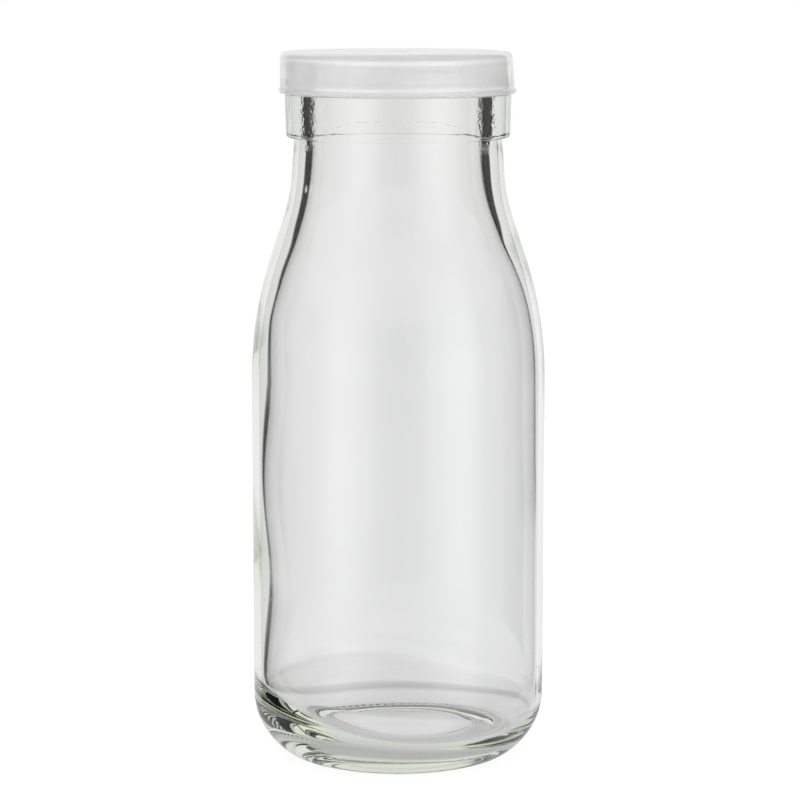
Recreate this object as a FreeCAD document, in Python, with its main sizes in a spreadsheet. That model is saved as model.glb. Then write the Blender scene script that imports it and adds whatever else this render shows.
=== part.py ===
"""A small clear glass milk bottle with a soft push-on lid, as a parametric FreeCAD document.

The bottle is blown glass: a straight body, a long shoulder, a heavy collar below the mouth and a
pushed-up base that stands on a knurled ring.  The lid is moulded in soft plastic: it seats on the
rim and its inner bead clicks into a groove round the mouth.

Frame: millimetres, +Z up the bottle's axis, the origin at the centre of the face it stands on.
"""

import FreeCAD
import Part
import math
import os

import Sketcher
from FreeCAD import Vector

# Each driving size once: alias, value, what it sets.  Lengths in mm, angles in degrees.
SIZES = [
    ("body_diameter", 58.4, "outside of the straight body"),
    ("shoulder_start", 75.2, "height where the straight body ends"),
    ("shoulder_radius", 78.5, "outer arc that leaves the body"),
    ("shoulder_slope", 18.7, "slope between the shoulder and throat arcs, from the vertical"),
    ("shoulder_step", 17.4, "body less neck diameter that those arcs and that slope are given at"),
    ("throat_radius", 36.0, "outer arc that turns up into the neck"),
    ("neck_diameter", 41.0, "outside of the neck just below the collar"),
    ("neck_draft", 3.7, "taper of the neck, from the vertical"),
    ("neck_top", 123.3, "height of the collar's underside"),
    ("heel_radius", 13.6, "outer arc between the body and the toe"),
    ("heel_turn", 58.0, "angle that the heel arc turns through"),
    ("toe_radius", 1.6, "small arc from the heel to the standing ring"),
    ("collar_length", 8.45, "height of the heavy collar"),
    ("collar_foot_diameter", 44.2, "collar outside at its lower edge"),
    ("collar_head_diameter", 44.6, "collar outside at its upper edge"),
    ("collar_rounding", 0.8, "rounding of the collar's lower edge"),
    ("collar_ease", 0.35, "rounding of the collar's upper edge and of its root"),
    ("finish_length", 6.95, "height of the mouth above the collar"),
    ("finish_diameter", 42.9, "mouth outside, above the lid groove"),
    ("finish_draft", 2.4, "taper of the mouth, from the vertical"),
    ("rim_rounding", 1.1, "outer rounding of the rim"),
    ("mouth_rounding", 0.8, "inner rounding of the rim"),
    ("lid_groove_height", 2.1, "height of the groove that holds the lid"),
    ("lid_groove_depth", 0.45, "depth of that groove"),
    ("bore_diameter", 33.5, "inside of the neck"),
    ("inner_throat_radius", 46.0, "inner arc below the neck"),
    ("inner_slope", 23.5, "inner slope between the two arcs, from the vertical"),
    ("inner_step", 19.9, "inside body less bore diameter that the inner arcs are given at"),
    ("inner_shoulder_radius", 60.0, "inner arc that joins the body"),
    ("inner_shoulder_start", 76.0, "height where the inside of the body ends"),
    ("wall", 2.5, "glass in the straight body"),
    ("inner_heel_radius", 11.0, "inner arc between wall and floor"),
    ("floor", 4.6, "height of the inner floor at its middle"),
    ("floor_dome_radius", 240.0, "radius of the gently domed floor"),
    ("standing_ring_width", 2.4, "flat width of the ring that the bottle stands on"),
    ("push_up_height", 1.9, "height of the hollow under the base"),
    ("push_up_disc_diameter", 29.7, "plain disc in the middle of that hollow"),
    ("push_up_rise", 0.5, "how much further the disc domes up at its middle"),
    ("knurl_count", 80, "notches round the standing ring"),
    ("knurl_width", 0.7, "width of one notch"),
    ("knurl_depth", 0.25, "depth of one notch"),
    ("knurl_margin", 0.4, "plain ring left at each end of a notch"),
    ("lid_clearance", 0.1, "gap between the mouth and the lid's skirt"),
    ("lid_wall", 1.42, "plastic in the skirt"),
    ("lid_panel", 1.3, "plastic in the top"),
    ("lid_gap", 0.2, "gap between the collar and the lid's lower edge"),
    ("lid_rounding", 0.9, "rounding of the lid's top edge"),
    ("lid_inner_rounding", 0.3, "rounding of the lid's lower edge"),
    ("lip_height", 0.9, "height of the thicker lip at the lid's lower edge"),
    ("lip_width", 0.28, "how far that lip stands out"),
    ("lid_bead_height", 1.3, "height of the bead inside the skirt"),
    ("gate_dimple_diameter", 5.0, "shallow dimple in the middle of the lid"),
    ("gate_dimple_depth", 0.3, "depth of that dimple"),
    ("gate_mark_diameter", 1.4, "moulding gate's mark in the dimple"),
    ("gate_mark_height", 0.18, "height of that mark"),
]

# What follows from the sizes: alias, formula, what it is.  A shoulder keeps its height when the
# body, the neck, the wall or the bore changes, so its slope steepens and its arcs tighten.
FOLLOWING = [
    ("slope_fit", "atan(tan(shoulder_slope * 1 deg) * (body_diameter - neck_diameter)"
     " / shoulder_step) / 1 deg", "shoulder slope as made"),
    ("slope_ratio", "sin(shoulder_slope * 1 deg) / sin(slope_fit * 1 deg)",
     "shoulder and throat arcs as made, over their sizes"),
    ("inner_slope_fit", "atan(tan(inner_slope * 1 deg) * (body_diameter - 2 * wall - bore_diameter)"
     " / inner_step) / 1 deg", "inner slope as made"),
    ("inner_slope_ratio", "sin(inner_slope * 1 deg) / sin(inner_slope_fit * 1 deg)",
     "inner arcs as made, over their sizes"),
    ("rim_wall", "finish_diameter / 2 - (finish_length - lid_groove_height - lid_groove_depth)"
     " * tan(finish_draft * 1 deg) - bore_diameter / 2", "glass at the rim"),
    ("rim_round", "min(rim_rounding; 0.5 * rim_wall)", "outer rounding of the rim as made"),
    ("mouth_round", "min(mouth_rounding; 0.4 * rim_wall)", "inner rounding of the rim as made"),
]

START, END, CENTRE = 1, 2, 3
ROOT = -1
V_AXIS = -2
SHEET = "Sizes"


def make_sheet(doc):
    """Puts every size, driving and following, in a spreadsheet cell with an alias."""
    sheet = doc.addObject("Spreadsheet::Sheet", SHEET)
    formulas = [(alias, f"={formula}", meaning) for alias, formula, meaning in FOLLOWING]
    for row, (alias, value, meaning) in enumerate(SIZES + formulas, start=1):
        sheet.set(f"A{row}", alias)
        sheet.set(f"B{row}", str(value))
        sheet.set(f"C{row}", meaning)
        sheet.setAlias(f"B{row}", alias)
    doc.recompute()
    return sheet


class Outline:
    """A closed half-section in a sketch on a body's XZ plane, drawn edge after edge.

    Its points are worked out from the sheet's values, and its constraints are bound to the same
    cells, so the sketch solver holds the outline to the sheet.
    """

    def __init__(self, body, name, start):
        self.sketch = body.newObject("Sketcher::SketchObject", name)
        plane = origin_plane(body, "XZ_Plane")
        self.sketch.AttachmentSupport = [(plane, "")]
        self.sketch.MapMode = "FlatFace"
        self.point = start
        self.directions = []

    def line(self, end):
        """Adds a straight edge to a point and returns its number."""
        edge = Part.LineSegment(Vector(*self.point, 0), Vector(*end, 0))
        return self._add(edge, end, (START, END))

    def arc(self, centre, radius, start_degrees, end_degrees):
        """Adds an arc and returns its number.

        The sketcher counts an arc anticlockwise, so one drawn clockwise has its ends swapped.
        """
        low, high = sorted((start_degrees, end_degrees))
        circle = Part.Circle(Vector(*centre, 0), Vector(0, 0, 1), radius)
        edge = Part.ArcOfCircle(circle, math.radians(low), math.radians(high))
        order = (START, END) if end_degrees > start_degrees else (END, START)
        return self._add(edge, polar(centre, radius, end_degrees), order)

    def _add(self, edge, end, order):
        number = self.sketch.addGeometry(edge, False)
        self.directions.append(order)
        self.point = end
        return number

    def join(self, smooth=()):
        """Joins each edge to the next, with a tangent where both numbers are in smooth."""
        count = len(self.directions)
        for first in range(count):
            second = (first + 1) % count
            leave = self.directions[first][1]
            arrive = self.directions[second][0]
            kind = "Tangent" if (first, second) in smooth else "Coincident"
            self.sketch.addConstraint(Sketcher.Constraint(kind, first, leave, second, arrive))

    def level(self, *numbers):
        """Holds straight edges horizontal."""
        for number in numbers:
            self.sketch.addConstraint(Sketcher.Constraint("Horizontal", number))

    def upright(self, *numbers):
        """Holds straight edges vertical."""
        for number in numbers:
            self.sketch.addConstraint(Sketcher.Constraint("Vertical", number))

    def on_axis(self, number):
        """Puts both ends of a straight edge on the axis of revolution."""
        for end in (START, END):
            self.sketch.addConstraint(
                Sketcher.Constraint("PointOnObject", number, end, V_AXIS)
            )

    def across(self, number, value, expression, end=END):
        """Holds a point's distance from the axis."""
        self._place("DistanceX", number, end, value, expression)

    def up(self, number, value, expression, end=END):
        """Holds a point's height."""
        self._place("DistanceY", number, end, value, expression)

    def _place(self, kind, number, end, value, expression):
        vertex = self.directions[number][end - 1]
        held = Sketcher.Constraint(kind, ROOT, START, number, vertex, value)
        self._bind(self.sketch.addConstraint(held), expression)

    def radius(self, number, value, expression):
        """Holds an arc's radius."""
        held = Sketcher.Constraint("Radius", number, value)
        self._bind(self.sketch.addConstraint(held), expression)

    def lean(self, number, degrees, expression):
        """Holds a straight edge's angle from the sketch's horizontal axis."""
        held = Sketcher.Constraint("Angle", number, math.radians(degrees))
        self._bind(self.sketch.addConstraint(held), expression)

    def _bind(self, index, expression):
        self.sketch.setExpression(f"Constraints[{index}]", expression)


def origin_plane(body, role):
    """The body's own origin plane with that role."""
    for feature in body.Origin.OriginFeatures:
        if feature.Role == role:
            return feature
    raise ValueError(f"{body.Name} has no {role}")


def revolve(body, name, kind, outline):
    """Turns an outline about the axis, as a Revolution or a Groove."""
    feature = body.newObject(f"PartDesign::{kind}", name)
    feature.Profile = outline.sketch
    feature.ReferenceAxis = (outline.sketch, ["V_Axis"])
    feature.Angle = 360.0
    body.Document.recompute()
    return feature


def ring_edges(shape, radius, height, tolerance=0.02):
    """Names of the full circles of one radius at one height."""
    names = []
    for number, edge in enumerate(shape.Edges, start=1):
        if edge.Degenerated or not isinstance(edge.Curve, Part.Circle):
            continue
        curve = edge.Curve
        if abs(curve.Radius - radius) < tolerance and abs(curve.Center.z - height) < tolerance:
            names.append(f"Edge{number}")
    if not names:
        raise ValueError(f"no ring of radius {radius:.2f} at {height:.2f}")
    return names


def fillet_ring(body, name, radius, height, size_expression):
    """Rounds one ring of a body's last feature."""
    base = body.Tip
    feature = body.newObject("PartDesign::Fillet", name)
    feature.Base = (base, ring_edges(base.Shape, radius, height))
    feature.setExpression("Radius", size_expression)
    body.Document.recompute()
    return feature


def check_cut(body, before, feature):
    """Stops if a cut took nothing away."""
    if body.Shape.Volume >= before:
        raise ValueError(f"{feature.Name} cut nothing")


def polar(centre, radius, degrees):
    """A point on a circle."""
    angle = math.radians(degrees)
    return (centre[0] + radius * math.cos(angle), centre[1] + radius * math.sin(angle))


def throat_centre(wall_radius, start, arc_radius, slope, turn_radius, neck_radius, neck_top, draft):
    """Centre of the concave arc between a sloping shoulder and the neck above it.

    The shoulder arc leaves a vertical wall at start; its end leans by slope.  The neck line leans
    by draft and reaches neck_radius at neck_top.  The arc touches both lines from outside.
    """
    slope_point = polar((wall_radius - arc_radius, start), arc_radius, slope)
    lean, tilt = math.radians(slope), math.radians(draft)
    first = slope_point[0] * math.cos(lean) + slope_point[1] * math.sin(lean) + turn_radius
    second = neck_radius * math.cos(tilt) + neck_top * math.sin(tilt) + turn_radius
    spread = math.sin(tilt - lean)
    return (
        (first * math.sin(tilt) - second * math.sin(lean)) / spread,
        (second * math.cos(lean) - first * math.cos(tilt)) / spread,
    )


def bottle_outside(body, value):
    """The outer half-section, from the standing face up to the rim."""
    body_radius = value("body_diameter") / 2
    neck_radius = value("neck_diameter") / 2
    heel, toe, turn = value("heel_radius"), value("toe_radius"), value("heel_turn")
    slope, draft = value("slope_fit"), value("neck_draft")
    arc = value("shoulder_radius") * value("slope_ratio")
    throat = value("throat_radius") * value("slope_ratio")
    rim = value("neck_top") + value("collar_length") + value("finish_length")

    heel_top = heel * math.sin(math.radians(turn)) + toe * (1 - math.sin(math.radians(turn)))
    heel_centre = (body_radius - heel, heel_top)
    toe_centre = polar(heel_centre, heel - toe, -turn)
    shoulder_centre = (body_radius - arc, value("shoulder_start"))
    throat_at = throat_centre(
        body_radius, value("shoulder_start"), arc, slope,
        throat, neck_radius, value("neck_top"), draft,
    )
    collar_top = value("neck_top") + value("collar_length")
    finish_foot = value("finish_diameter") / 2
    groove_radius = finish_foot - value("lid_groove_depth")
    groove_top = collar_top + value("lid_groove_height")
    bead_foot = groove_top + value("lid_groove_depth")
    rim_radius = finish_foot - (rim - bead_foot) * math.tan(math.radians(value("finish_draft")))

    outline = Outline(body, "outside_section", (0.0, 0.0))
    base = outline.line((toe_centre[0], 0.0))
    toe_arc = outline.arc(toe_centre, toe, -90, -turn)
    heel_arc = outline.arc(heel_centre, heel, -turn, 0)
    wall = outline.line((body_radius, value("shoulder_start")))
    shoulder = outline.arc(shoulder_centre, arc, 0, slope)
    slant = outline.line(polar(throat_at, throat, 180 + slope))
    throat_arc = outline.arc(throat_at, throat, 180 + slope, 180 + draft)
    neck = outline.line((neck_radius, value("neck_top")))
    collar_under = outline.line((value("collar_foot_diameter") / 2, value("neck_top")))
    collar_side = outline.line((value("collar_head_diameter") / 2, collar_top))
    collar_step = outline.line((groove_radius, collar_top))
    groove_wall = outline.line((groove_radius, groove_top))
    groove_ramp = outline.line((finish_foot, bead_foot))
    finish_side = outline.line((rim_radius, rim))
    rim_face = outline.line((0.0, rim))
    axis = outline.line((0.0, 0.0))

    outline.join(smooth={
        (base, toe_arc), (toe_arc, heel_arc), (heel_arc, wall),
        (wall, shoulder), (shoulder, slant), (slant, throat_arc), (throat_arc, neck),
    })
    outline.level(base, collar_under, collar_step, rim_face)
    outline.upright(wall, groove_wall)
    outline.on_axis(axis)
    outline.up(base, 0.0, "0 mm")
    outline.radius(toe_arc, toe, "Sizes.toe_radius * 1 mm")
    outline.radius(heel_arc, heel, "Sizes.heel_radius * 1 mm")
    outline.across(wall, body_radius, "Sizes.body_diameter / 2 * 1 mm")
    outline.up(
        heel_arc, heel_top,
        "(Sizes.heel_radius * sin(Sizes.heel_turn * 1 deg)"
        " + Sizes.toe_radius * (1 - sin(Sizes.heel_turn * 1 deg))) * 1 mm",
    )
    outline.up(wall, value("shoulder_start"), "Sizes.shoulder_start * 1 mm")
    outline.radius(shoulder, arc, "Sizes.shoulder_radius * Sizes.slope_ratio * 1 mm")
    outline.lean(slant, 90 + slope, "90 deg + Sizes.slope_fit * 1 deg")
    outline.radius(throat_arc, throat, "Sizes.throat_radius * Sizes.slope_ratio * 1 mm")
    outline.lean(neck, 90 + draft, "90 deg + Sizes.neck_draft * 1 deg")
    outline.across(neck, neck_radius, "Sizes.neck_diameter / 2 * 1 mm")
    outline.up(neck, value("neck_top"), "Sizes.neck_top * 1 mm")
    outline.across(
        collar_under, value("collar_foot_diameter") / 2, "Sizes.collar_foot_diameter / 2 * 1 mm"
    )
    outline.across(
        collar_side, value("collar_head_diameter") / 2, "Sizes.collar_head_diameter / 2 * 1 mm"
    )
    outline.up(collar_side, collar_top, "(Sizes.neck_top + Sizes.collar_length) * 1 mm")
    outline.across(
        groove_wall, groove_radius,
        "(Sizes.finish_diameter / 2 - Sizes.lid_groove_depth) * 1 mm",
    )
    outline.up(
        groove_wall, groove_top,
        "(Sizes.neck_top + Sizes.collar_length + Sizes.lid_groove_height) * 1 mm",
    )
    outline.across(groove_ramp, finish_foot, "Sizes.finish_diameter / 2 * 1 mm")
    outline.lean(groove_ramp, 45.0, "45 deg")
    outline.lean(finish_side, 90 + value("finish_draft"), "90 deg + Sizes.finish_draft * 1 deg")
    outline.up(
        finish_side, rim,
        "(Sizes.neck_top + Sizes.collar_length + Sizes.finish_length) * 1 mm",
    )
    return outline, rim_radius, rim


def bottle_inside(body, value, rim):
    """The half-section of the hollow, from the domed floor up to the mouth."""
    wall_radius = value("body_diameter") / 2 - value("wall")
    bore_radius = value("bore_diameter") / 2
    heel, dome = value("inner_heel_radius"), value("floor_dome_radius")
    slope = value("inner_slope_fit")
    reach = wall_radius - heel
    lean = math.degrees(math.asin(reach / (dome + heel)))
    dome_centre = (0.0, value("floor") - dome)
    heel_centre = polar(dome_centre, dome + heel, 90 - lean)
    shoulder = value("inner_shoulder_radius") * value("inner_slope_ratio")
    shoulder_centre = (wall_radius - shoulder, value("inner_shoulder_start"))
    throat = value("inner_throat_radius") * value("inner_slope_ratio")
    throat_at = throat_centre(
        wall_radius, value("inner_shoulder_start"), shoulder, slope, throat, bore_radius, rim, 0.0
    )

    outline = Outline(body, "inside_section", (0.0, value("floor")))
    floor = outline.arc(dome_centre, dome, 90, 90 - lean)
    heel_arc = outline.arc(heel_centre, heel, -90 - lean, 0)
    wall = outline.line((wall_radius, value("inner_shoulder_start")))
    shoulder_arc = outline.arc(shoulder_centre, shoulder, 0, slope)
    slant = outline.line(polar(throat_at, throat, 180 + slope))
    throat_arc = outline.arc(throat_at, throat, 180 + slope, 180)
    bore = outline.line((bore_radius, rim))
    mouth = outline.line((0.0, rim))
    axis = outline.line((0.0, value("floor")))

    outline.join(smooth={
        (floor, heel_arc), (heel_arc, wall), (wall, shoulder_arc),
        (shoulder_arc, slant), (slant, throat_arc), (throat_arc, bore),
    })
    outline.level(mouth)
    outline.upright(wall, bore)
    outline.on_axis(axis)
    sketch = outline.sketch
    sketch.addConstraint(Sketcher.Constraint("PointOnObject", floor, CENTRE, V_AXIS))
    outline.radius(floor, dome, "Sizes.floor_dome_radius * 1 mm")
    outline.up(axis, value("floor"), "Sizes.floor * 1 mm")
    outline.radius(heel_arc, heel, "Sizes.inner_heel_radius * 1 mm")
    outline.across(wall, wall_radius, "(Sizes.body_diameter / 2 - Sizes.wall) * 1 mm")
    outline.up(wall, value("inner_shoulder_start"), "Sizes.inner_shoulder_start * 1 mm")
    outline.radius(
        shoulder_arc, shoulder, "Sizes.inner_shoulder_radius * Sizes.inner_slope_ratio * 1 mm"
    )
    outline.lean(slant, 90 + slope, "90 deg + Sizes.inner_slope_fit * 1 deg")
    outline.radius(
        throat_arc, throat, "Sizes.inner_throat_radius * Sizes.inner_slope_ratio * 1 mm"
    )
    outline.across(bore, bore_radius, "Sizes.bore_diameter / 2 * 1 mm")
    outline.up(bore, rim, "(Sizes.neck_top + Sizes.collar_length + Sizes.finish_length) * 1 mm")
    return outline


def standing_radius(value):
    """Outer radius of the flat ring that the bottle stands on, where the toe arc begins."""
    turn = math.radians(value("heel_turn"))
    inset = value("heel_radius") - (value("heel_radius") - value("toe_radius")) * math.cos(turn)
    return value("body_diameter") / 2 - inset


STANDING_RADIUS = (
    "(Sizes.body_diameter / 2 - Sizes.heel_radius"
    " + (Sizes.heel_radius - Sizes.toe_radius) * cos(Sizes.heel_turn * 1 deg))"
)


def push_up(body, value):
    """The half-section of the hollow under the base: a domed disc with a sloping ring round it."""
    ring_inside = standing_radius(value) - value("standing_ring_width")
    disc = value("push_up_disc_diameter") / 2
    height = value("push_up_height")
    peak = height + value("push_up_rise")
    dome = (disc**2 + value("push_up_rise") ** 2) / (2 * value("push_up_rise"))
    spread = math.degrees(math.asin(disc / dome))
    outline = Outline(body, "push_up_section", (0.0, 0.0))
    mouth = outline.line((ring_inside, 0.0))
    slope = outline.line((disc, height))
    top = outline.arc((0.0, peak - dome), dome, 90 - spread, 90)
    axis = outline.line((0.0, 0.0))
    outline.join()
    outline.level(mouth)
    outline.on_axis(axis)
    outline.up(mouth, 0.0, "0 mm")
    outline.across(
        mouth, ring_inside, f"({STANDING_RADIUS} - Sizes.standing_ring_width) * 1 mm"
    )
    outline.across(slope, disc, "Sizes.push_up_disc_diameter / 2 * 1 mm")
    outline.up(slope, height, "Sizes.push_up_height * 1 mm")
    outline.up(top, peak, "(Sizes.push_up_height + Sizes.push_up_rise) * 1 mm")
    sketch = outline.sketch
    sketch.addConstraint(Sketcher.Constraint("PointOnObject", top, CENTRE, V_AXIS))
    return outline


def knurl(body, value):
    """One radial notch across the standing ring, repeated round it."""
    doc = body.Document
    outer = standing_radius(value) - value("knurl_margin")
    inner = standing_radius(value) - value("standing_ring_width") + value("knurl_margin")
    half = value("knurl_width") / 2
    sketch = body.newObject("Sketcher::SketchObject", "knurl_outline")
    sketch.AttachmentSupport = [(origin_plane(body, "XY_Plane"), "")]
    sketch.MapMode = "FlatFace"
    corners = [(inner, -half), (outer, -half), (outer, half), (inner, half)]
    for start, end in zip(corners, corners[1:] + corners[:1]):
        sketch.addGeometry(Part.LineSegment(Vector(*start, 0), Vector(*end, 0)), False)
    for side in range(4):
        sketch.addConstraint(
            Sketcher.Constraint("Coincident", side, END, (side + 1) % 4, START)
        )
        kind = "Vertical" if side % 2 else "Horizontal"
        sketch.addConstraint(Sketcher.Constraint(kind, side))
    held = [
        ("DistanceX", 0, START, inner,
         f"({STANDING_RADIUS} - Sizes.standing_ring_width + Sizes.knurl_margin) * 1 mm"),
        ("DistanceX", 0, END, outer, f"({STANDING_RADIUS} - Sizes.knurl_margin) * 1 mm"),
        ("DistanceY", 2, START, half, "Sizes.knurl_width / 2 * 1 mm"),
    ]
    for kind, edge, end, distance, expression in held:
        index = sketch.addConstraint(
            Sketcher.Constraint(kind, ROOT, START, edge, end, distance)
        )
        sketch.setExpression(f"Constraints[{index}]", expression)
    index = sketch.addConstraint(Sketcher.Constraint("Distance", 1, value("knurl_width")))
    sketch.setExpression(f"Constraints[{index}]", "Sizes.knurl_width * 1 mm")
    doc.recompute()

    before = body.Shape.Volume
    notch = body.newObject("PartDesign::Pocket", "knurl_notch")
    notch.Profile = sketch
    notch.Reversed = True
    notch.setExpression("Length", "Sizes.knurl_depth * 1 mm")
    doc.recompute()
    check_cut(body, before, notch)

    pattern = body.newObject("PartDesign::PolarPattern", "knurl_ring")
    pattern.Originals = [notch]
    pattern.Axis = (sketch, ["N_Axis"])
    pattern.Angle = 360.0
    pattern.setExpression("Occurrences", "Sizes.knurl_count")
    body.Tip = pattern
    doc.recompute()


def make_bottle(doc, value):
    """The glass bottle, as one body."""
    body = doc.addObject("PartDesign::Body", "bottle")
    body.Label = "bottle"
    outside, rim_radius, rim = bottle_outside(body, value)
    revolve(body, "outside", "Revolution", outside)
    collar_top = value("neck_top") + value("collar_length")
    roundings = [
        ("rim_edge", rim_radius, rim, "Sizes.rim_round * 1 mm"),
        ("collar_foot", value("collar_foot_diameter") / 2, value("neck_top"),
         "Sizes.collar_rounding * 1 mm"),
        ("collar_head", value("collar_head_diameter") / 2, collar_top, "Sizes.collar_ease * 1 mm"),
        ("collar_root", value("neck_diameter") / 2, value("neck_top"), "Sizes.collar_ease * 1 mm"),
    ]
    for name, radius, height, size in roundings:
        fillet_ring(body, name, radius, height, size)

    before = body.Shape.Volume
    inside = revolve(body, "inside", "Groove", bottle_inside(body, value, rim))
    check_cut(body, before, inside)
    fillet_ring(body, "mouth_edge", value("bore_diameter") / 2, rim, "Sizes.mouth_round * 1 mm")

    before = body.Shape.Volume
    hollow = revolve(body, "push_up", "Groove", push_up(body, value))
    check_cut(body, before, hollow)
    knurl(body, value)
    return body


def make_lid(doc, value):
    """The soft push-on lid, seated on the rim with its bead in the lid groove."""
    body = doc.addObject("PartDesign::Body", "lid")
    body.Label = "lid"
    collar_top = value("neck_top") + value("collar_length")
    rim = collar_top + value("finish_length")
    foot = collar_top + value("lid_gap")
    top = rim + value("lid_panel")
    draft = math.tan(math.radians(value("finish_draft")))
    finish_foot = value("finish_diameter") / 2
    groove_top = collar_top + value("lid_groove_height")
    bead_foot = groove_top + value("lid_groove_depth")
    clearance, wall = value("lid_clearance"), value("lid_wall")

    skirt_foot = finish_foot + clearance
    skirt_head = skirt_foot - (rim - bead_foot) * draft
    bead_radius = skirt_foot - value("lid_groove_depth")
    bead_low = groove_top - value("lid_bead_height")
    outer_head = skirt_head + wall
    lip_top = foot + value("lip_height")
    outer_lip = outer_head + (top - lip_top) * draft
    lip_radius = outer_lip + value("lip_width")

    outline = Outline(body, "lid_section", (0.0, rim))
    seat = outline.line((skirt_head, rim))
    inner_side = outline.line((skirt_foot, bead_foot))
    bead_ramp = outline.line((bead_radius, groove_top))
    bead_face = outline.line((bead_radius, bead_low))
    lead_in = outline.line((skirt_foot, foot))
    lip_under = outline.line((lip_radius, foot))
    lip_side = outline.line((lip_radius, lip_top))
    lip_step = outline.line((outer_lip, lip_top))
    outer_side = outline.line((outer_head, top))
    panel = outline.line((0.0, top))
    axis = outline.line((0.0, rim))
    outline.join()
    outline.level(seat, lip_under, lip_step, panel)
    outline.upright(bead_face, lip_side)
    outline.on_axis(axis)
    stack = "(Sizes.neck_top + Sizes.collar_length"
    outline.up(seat, rim, f"{stack} + Sizes.finish_length) * 1 mm")
    outline.lean(
        inner_side, -90 + value("finish_draft"), "-90 deg + Sizes.finish_draft * 1 deg"
    )
    outline.across(
        inner_side, skirt_foot, "(Sizes.finish_diameter / 2 + Sizes.lid_clearance) * 1 mm"
    )
    outline.up(
        inner_side, bead_foot,
        f"{stack} + Sizes.lid_groove_height + Sizes.lid_groove_depth) * 1 mm",
    )
    outline.across(
        bead_face, bead_radius,
        "(Sizes.finish_diameter / 2 + Sizes.lid_clearance - Sizes.lid_groove_depth) * 1 mm",
    )
    outline.up(bead_ramp, groove_top, f"{stack} + Sizes.lid_groove_height) * 1 mm")
    outline.up(
        bead_face, bead_low,
        f"{stack} + Sizes.lid_groove_height - Sizes.lid_bead_height) * 1 mm",
    )
    outline.across(
        lead_in, skirt_foot, "(Sizes.finish_diameter / 2 + Sizes.lid_clearance) * 1 mm"
    )
    outline.up(lead_in, foot, f"{stack} + Sizes.lid_gap) * 1 mm")
    outline.up(lip_side, lip_top, f"{stack} + Sizes.lid_gap + Sizes.lip_height) * 1 mm")
    outline.sketch.addConstraint(Sketcher.Constraint("Parallel", outer_side, inner_side))
    width = outline.sketch.addConstraint(
        Sketcher.Constraint("DistanceX", lip_step, END, lip_step, START, value("lip_width"))
    )
    outline.sketch.setExpression(f"Constraints[{width}]", "Sizes.lip_width * 1 mm")
    outline.across(
        outer_side, outer_head,
        "(Sizes.finish_diameter / 2 + Sizes.lid_clearance + Sizes.lid_wall"
        " - (Sizes.finish_length - Sizes.lid_groove_height - Sizes.lid_groove_depth)"
        " * tan(Sizes.finish_draft * 1 deg)) * 1 mm",
    )
    outline.up(outer_side, top, f"{stack} + Sizes.finish_length + Sizes.lid_panel) * 1 mm")
    revolve(body, "shell", "Revolution", outline)
    fillet_ring(body, "top_edge", outer_head, top, "Sizes.lid_rounding * 1 mm")
    fillet_ring(body, "lip_foot", lip_radius, foot, "Sizes.lid_inner_rounding * 1 mm")
    gate_mark(body, value, top)
    return body


def gate_mark(body, value, top):
    """The shallow dimple in the lid's top, with the mark of the moulding gate in it."""
    dimple = value("gate_dimple_diameter") / 2
    mark = value("gate_mark_diameter") / 2
    low = top - value("gate_dimple_depth")
    mark_top = low + value("gate_mark_height")
    outline = Outline(body, "gate_section", (0.0, mark_top))
    crown = outline.line((mark, mark_top))
    mark_side = outline.line((mark, low))
    floor = outline.line((dimple - value("gate_dimple_depth"), low))
    rise = outline.line((dimple, top))
    cover = outline.line((0.0, top))
    axis = outline.line((0.0, mark_top))
    outline.join()
    outline.level(crown, floor, cover)
    outline.upright(mark_side)
    outline.on_axis(axis)
    stack = (
        "(Sizes.neck_top + Sizes.collar_length + Sizes.finish_length + Sizes.lid_panel"
    )
    outline.across(crown, mark, "Sizes.gate_mark_diameter / 2 * 1 mm")
    outline.up(
        crown, mark_top, f"{stack} - Sizes.gate_dimple_depth + Sizes.gate_mark_height) * 1 mm"
    )
    outline.up(mark_side, low, f"{stack} - Sizes.gate_dimple_depth) * 1 mm")
    outline.lean(rise, 45.0, "45 deg")
    outline.across(rise, dimple, "Sizes.gate_dimple_diameter / 2 * 1 mm")
    outline.up(rise, top, f"{stack}) * 1 mm")
    before = body.Shape.Volume
    groove = revolve(body, "gate", "Groove", outline)
    check_cut(body, before, groove)


def check(doc, bodies):
    """Stops on a failed object or a shape that can't be kept."""
    for item in doc.Objects:
        if {"Invalid", "Error"} & set(item.State):
            raise RuntimeError(f"{item.Name} is {item.State}")
    for body in bodies:
        shape = body.Shape
        if shape.isNull() or not shape.isValid():
            raise RuntimeError(f"{body.Label} has no valid shape")
        if len(shape.Solids) != 1:
            raise RuntimeError(f"{body.Label} is {len(shape.Solids)} solids")


def main():
    """Builds the document and writes one STEP file for each piece."""
    doc = FreeCAD.newDocument("milk_bottle")
    sheet = make_sheet(doc)

    def value(alias):
        return float(sheet.get(alias))

    bodies = [make_bottle(doc, value), make_lid(doc, value)]
    doc.recompute()
    check(doc, bodies)
    os.makedirs("parts", exist_ok=True)
    for body in bodies:
        shape = body.Shape
        shape.exportStep(os.path.join("parts", f"{body.Label}.step"))
        box = shape.BoundBox
        print(
            f"{body.Label}: {shape.Volume / 1000:.2f} cm3, {len(shape.Faces)} faces,"
            f" {box.XLength:.2f} x {box.YLength:.2f} x {box.ZLength:.2f} mm,"
            f" z {box.ZMin:.2f} to {box.ZMax:.2f}"
        )


main()
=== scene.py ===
"""A small clear glass milk bottle with a soft push-on lid, finished for rendering.

The bottle is blown soda-lime glass: smooth outside, where the mould shaped it, and slightly
uneven inside, where air did, so one wall is thicker than the other.  The lid is moulded in
low-density polyethylene, which is milky and lets light through.

Sizes are in millimetres and meshes in metres.  The frame gives the pieces' boxes; the sections
below repeat the shape between them.
"""

from __future__ import annotations

import logging
import math
from dataclasses import dataclass, field
from enum import Enum
from typing import Any, Mapping

import bmesh
import bpy
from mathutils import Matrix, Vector, noise


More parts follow.
